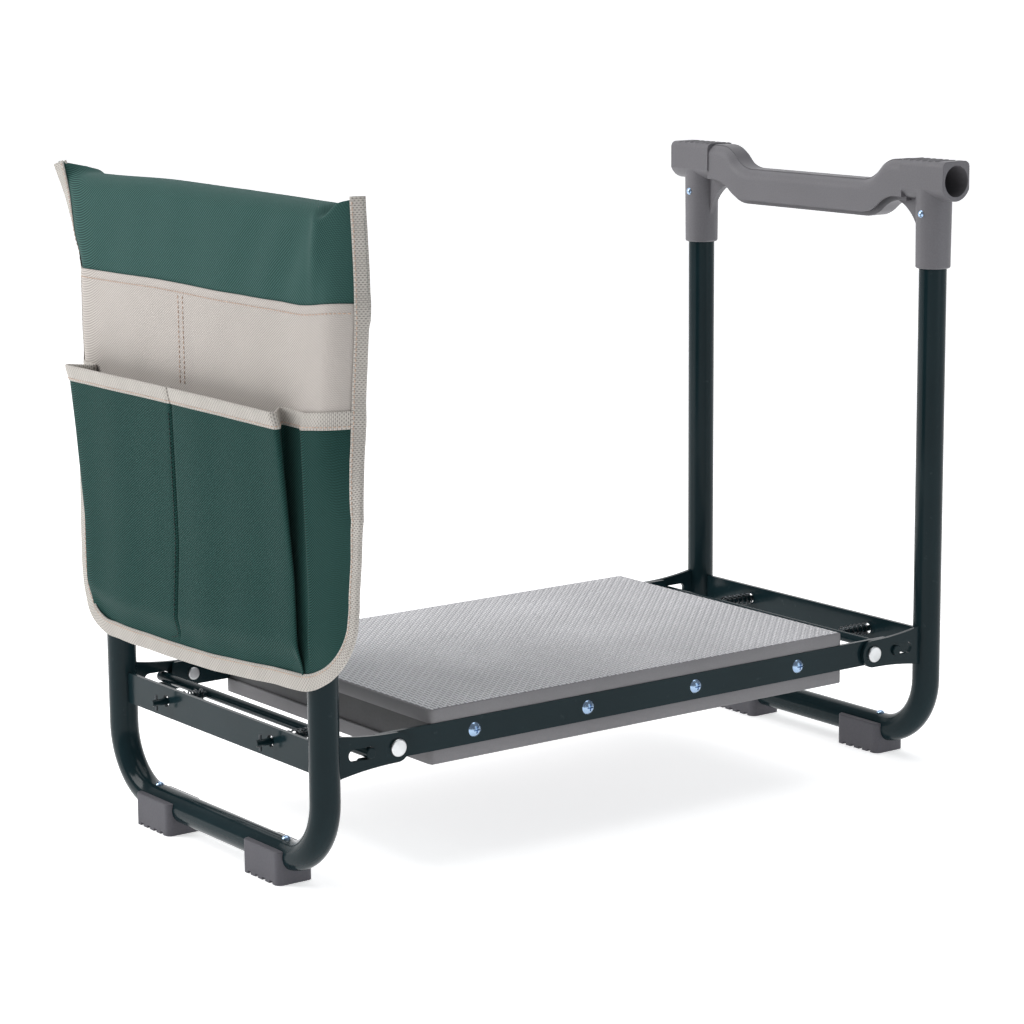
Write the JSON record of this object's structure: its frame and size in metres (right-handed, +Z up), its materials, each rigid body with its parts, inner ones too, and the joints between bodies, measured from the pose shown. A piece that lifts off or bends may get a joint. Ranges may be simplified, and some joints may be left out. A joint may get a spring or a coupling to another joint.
{
  "type": "folding garden kneeler seat",
  "caption": "Folding garden kneeler: padded board between two U-shaped tube legs with upright handles, sprung lock bars and a pocketed tool bag.",
  "frame": {"origin": "on the floor under the centre of the whole object's bounding box, tool bag included", "axes": "+X along the seat from the leg with the bag to the bare leg, +Y across the seat to the rear, +Z up"},
  "size_m": [0.6352, 0.385, 0.494],
  "materials": {
    "frame_paint": "gloss",
    "handle_plastic": "satin",
    "foot_rubber": "matte",
    "foam": "matte",
    "core_plastic": "matte",
    "rivet_aluminium": "satin",
    "screw_zinc": "satin",
    "spring_steel": "satin",
    "bag_green_cloth": "matte",
    "bag_beige_cloth": "matte",
    "bag_binding": "matte"
  },
  "bodies": {
    "seat": {"upper_foam": "foam", "lower_foam": "foam", "core_board": "core_plastic", "front_rail": "frame_paint", "rear_rail": "frame_paint", "front_rail_screws": "screw_zinc", "rear_rail_screws": "screw_zinc", "left_front_rivet": "rivet_aluminium", "left_rear_rivet": "rivet_aluminium", "right_front_rivet": "rivet_aluminium", "right_rear_rivet": "rivet_aluminium"},
    "left_leg": {"left_leg_tube": "frame_paint", "left_crossbar": "frame_paint", "left_front_ear": "frame_paint", "left_rear_ear": "frame_paint", "left_handle": "handle_plastic", "left_front_foot": "foot_rubber", "left_rear_foot": "foot_rubber", "left_foot_screws": "screw_zinc", "left_handle_screws": "screw_zinc", "left_front_lock_spring": "spring_steel", "left_rear_lock_spring": "spring_steel", "bag_shell": "bag_green_cloth", "bag_beige_pocket": "bag_beige_cloth", "bag_edge_binding": "bag_binding", "bag_front_pocket": "bag_green_cloth", "bag_rear_pocket": "bag_green_cloth", "bag_front_pocket_binding": "bag_binding", "bag_rear_pocket_binding": "bag_binding"},
    "right_leg": {"right_leg_tube": "frame_paint", "right_crossbar": "frame_paint", "right_front_ear": "frame_paint", "right_rear_ear": "frame_paint", "right_handle": "handle_plastic", "right_front_foot": "foot_rubber", "right_rear_foot": "foot_rubber", "right_foot_screws": "screw_zinc", "right_handle_screws": "screw_zinc", "right_front_lock_spring": "spring_steel", "right_rear_lock_spring": "spring_steel"},
    "left_lock": {"left_lock_bar": "frame_paint", "left_lock_guide_pins": "frame_paint", "left_lock_split_pins": "spring_steel"},
    "right_lock": {"right_lock_bar": "frame_paint", "right_lock_guide_pins": "frame_paint", "right_lock_split_pins": "spring_steel"}
  },
  "joints": [
    {"name": "left_leg_fold", "type": "hinge", "parent": "seat", "child": "left_leg", "pos_m": [-0.21898, 0.0145, 0.0995], "axis": [0, 1, 0], "range_deg": [0, 75]},
    {"name": "right_leg_fold", "type": "hinge", "parent": "seat", "child": "right_leg", "pos_m": [0.24183, 0.0145, 0.0995], "axis": [0, -1, 0], "range_deg": [0, 92]},
    {"name": "left_lock_slide", "type": "slide", "parent": "left_leg", "child": "left_lock", "axis": [-1, 0, 0], "range_m": [0, 0.012], "stiffness_N_per_m": 800, "springref_m": -0.006, "deforming": ["left_front_lock_spring", "left_rear_lock_spring"]},
    {"name": "right_lock_slide", "type": "slide", "parent": "right_leg", "child": "right_lock", "axis": [1, 0, 0], "range_m": [0, 0.012], "stiffness_N_per_m": 800, "springref_m": -0.006, "deforming": ["right_front_lock_spring", "right_rear_lock_spring"]}
  ]
}
